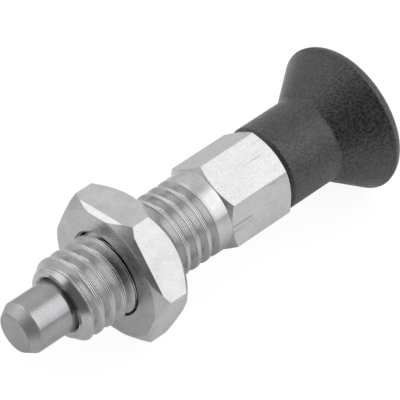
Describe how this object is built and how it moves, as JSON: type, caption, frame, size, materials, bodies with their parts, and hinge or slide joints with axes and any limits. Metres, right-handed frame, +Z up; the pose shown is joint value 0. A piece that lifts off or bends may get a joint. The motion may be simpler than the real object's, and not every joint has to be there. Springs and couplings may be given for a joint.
{
  "type": "indexing plunger",
  "caption": "Spring-loaded locking pin in a threaded guide sleeve with a lock nut, pulled back by a mushroom-shaped knob.",
  "frame": {"origin": "on the axis, at the flat ring of the guide sleeve's mouth", "axes": "+X along the axis from the pin's tip to the knob, which is the way the knob is pulled; +Z up, with the part lying on one flat of its nut and the knob's rim"},
  "size_m": [0.0399, 0.0148, 0.0144],
  "materials": {
    "sleeve_steel": "turned, bright zinc plated",
    "pin_steel": "fine turned",
    "spring_steel": "drawn wire",
    "nut_steel": "turned faces, bright zinc plated",
    "knob_plastic": "fine moulded grain"
  },
  "bodies": {
    "sleeve": {"guide_sleeve": "sleeve_steel"},
    "nut": {"lock_nut": "nut_steel"},
    "spring": {"return_spring": "spring_steel"},
    "plunger": {"locking_pin": "pin_steel", "pull_knob": "knob_plastic"}
  },
  "joints": [
    {"name": "pull", "type": "slide", "parent": "sleeve", "child": "spring", "axis": [1, 0, 0], "range_m": [0, 0.005], "stiffness_N_per_m": 1770, "springref_m": -0.0035, "deforming": ["return_spring"]},
    {"name": "knob_turn", "type": "hinge", "parent": "spring", "child": "plunger", "pos_m": [0, 0, 0], "axis": [1, 0, 0], "continuous": true},
    {"name": "nut_turn", "type": "hinge", "parent": "sleeve", "child": "nut", "pos_m": [0, 0, 0], "axis": [1, 0, 0], "continuous": true}
  ]
}
